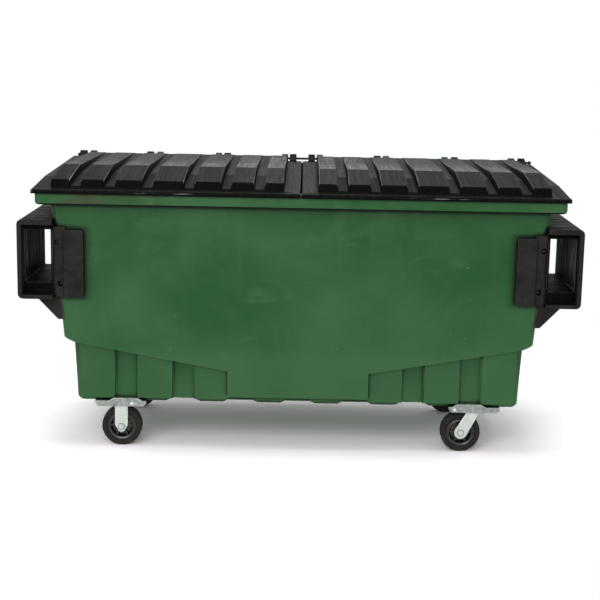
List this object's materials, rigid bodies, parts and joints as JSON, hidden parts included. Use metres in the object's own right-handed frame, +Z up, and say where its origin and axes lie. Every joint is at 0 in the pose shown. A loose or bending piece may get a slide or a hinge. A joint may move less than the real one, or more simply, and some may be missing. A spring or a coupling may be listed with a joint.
{
  "type": "dumpster",
  "caption": "Front-loading plastic refuse container with ribbed lids on a rear rod, fork pockets at its front corners, and casters that are rigid at one end and swivel at the other.",
  "frame": {"origin": "on the ground under the middle of the container", "axes": "+X to the right of someone who faces the front, -Y out of the front, +Z up"},
  "size_m": [2.064, 1.0494, 1.0513],
  "materials": {
    "green_plastic": "satin",
    "lid_plastic": "fine grain",
    "pocket_plastic": "satin",
    "black_plastic": "satin",
    "tyre_rubber": "matt",
    "hub_plastic": "satin",
    "zinc_steel": "bright zinc plate",
    "galvanised_steel": "dull zinc",
    "bolt_steel": "blackened"
  },
  "bodies": {
    "container": {"tub": "green_plastic", "hinge_rod": "bolt_steel", "rod_cap_left": "black_plastic", "rod_cap_right": "black_plastic", "fork_pocket_left": "pocket_plastic", "pocket_bolt_left_upper": "bolt_steel", "pocket_nut_left_upper": "galvanised_steel", "pocket_bolt_left_lower": "bolt_steel", "pocket_nut_left_lower": "galvanised_steel", "fork_pocket_right": "pocket_plastic", "pocket_bolt_right_upper": "bolt_steel", "pocket_nut_right_upper": "galvanised_steel", "pocket_bolt_right_lower": "bolt_steel", "pocket_nut_right_lower": "galvanised_steel", "axle_bolt_front_left": "zinc_steel", "axle_nut_front_left": "zinc_steel", "caster_bracket_front_left": "galvanised_steel", "caster_bracket_front_right": "galvanised_steel", "axle_bolt_rear_left": "zinc_steel", "axle_nut_rear_left": "zinc_steel", "caster_bracket_rear_left": "galvanised_steel", "caster_bracket_rear_right": "galvanised_steel", "rigid_fork_front_left": "zinc_steel", "swivel_plate_front_right": "zinc_steel", "rigid_fork_rear_left": "zinc_steel", "swivel_plate_rear_right": "zinc_steel"},
    "lid_left": {"lid_left": "lid_plastic"},
    "lid_right": {"lid_right": "lid_plastic"},
    "swivel_front": {"swivel_fork_front_right": "zinc_steel", "kingpin_front_right": "zinc_steel", "axle_bolt_front_right": "zinc_steel", "axle_nut_front_right": "zinc_steel"},
    "swivel_rear": {"swivel_fork_rear_right": "zinc_steel", "kingpin_rear_right": "zinc_steel", "axle_bolt_rear_right": "zinc_steel", "axle_nut_rear_right": "zinc_steel"},
    "wheel_front_left": {"tyre_front_left": "tyre_rubber", "hub_front_left": "hub_plastic"},
    "wheel_front_right": {"tyre_front_right": "tyre_rubber", "hub_front_right": "hub_plastic"},
    "wheel_rear_left": {"tyre_rear_left": "tyre_rubber", "hub_rear_left": "hub_plastic"},
    "wheel_rear_right": {"tyre_rear_right": "tyre_rubber", "hub_rear_right": "hub_plastic"}
  },
  "joints": [
    {"name": "lid_left_hinge", "type": "hinge", "parent": "container", "child": "lid_left", "pos_m": [0, 0.50525, 1.021], "axis": [-1, 0, 0], "range_deg": [0, 260]},
    {"name": "lid_right_hinge", "type": "hinge", "parent": "container", "child": "lid_right", "pos_m": [0, 0.50525, 1.021], "axis": [-1, 0, 0], "range_deg": [0, 260]},
    {"name": "wheel_front_left_spin", "type": "hinge", "parent": "container", "child": "wheel_front_left", "pos_m": [-0.667, -0.39675, 0.07555], "axis": [0, 1, 0], "continuous": true},
    {"name": "swivel_front_turn", "type": "hinge", "parent": "container", "child": "swivel_front", "pos_m": [0.667, -0.39675, 0.1605], "axis": [0, 0, 1], "continuous": true},
    {"name": "wheel_front_right_spin", "type": "hinge", "parent": "swivel_front", "child": "wheel_front_right", "pos_m": [0.622, -0.39675, 0.07555], "axis": [0, 1, 0], "continuous": true},
    {"name": "wheel_rear_left_spin", "type": "hinge", "parent": "container", "child": "wheel_rear_left", "pos_m": [-0.667, 0.14825, 0.07555], "axis": [0, 1, 0], "continuous": true},
    {"name": "swivel_rear_turn", "type": "hinge", "parent": "container", "child": "swivel_rear", "pos_m": [0.667, 0.14825, 0.1605], "axis": [0, 0, 1], "continuous": true},
    {"name": "wheel_rear_right_spin", "type": "hinge", "parent": "swivel_rear", "child": "wheel_rear_right", "pos_m": [0.622, 0.14825, 0.07555], "axis": [0, 1, 0], "continuous": true}
  ]
}
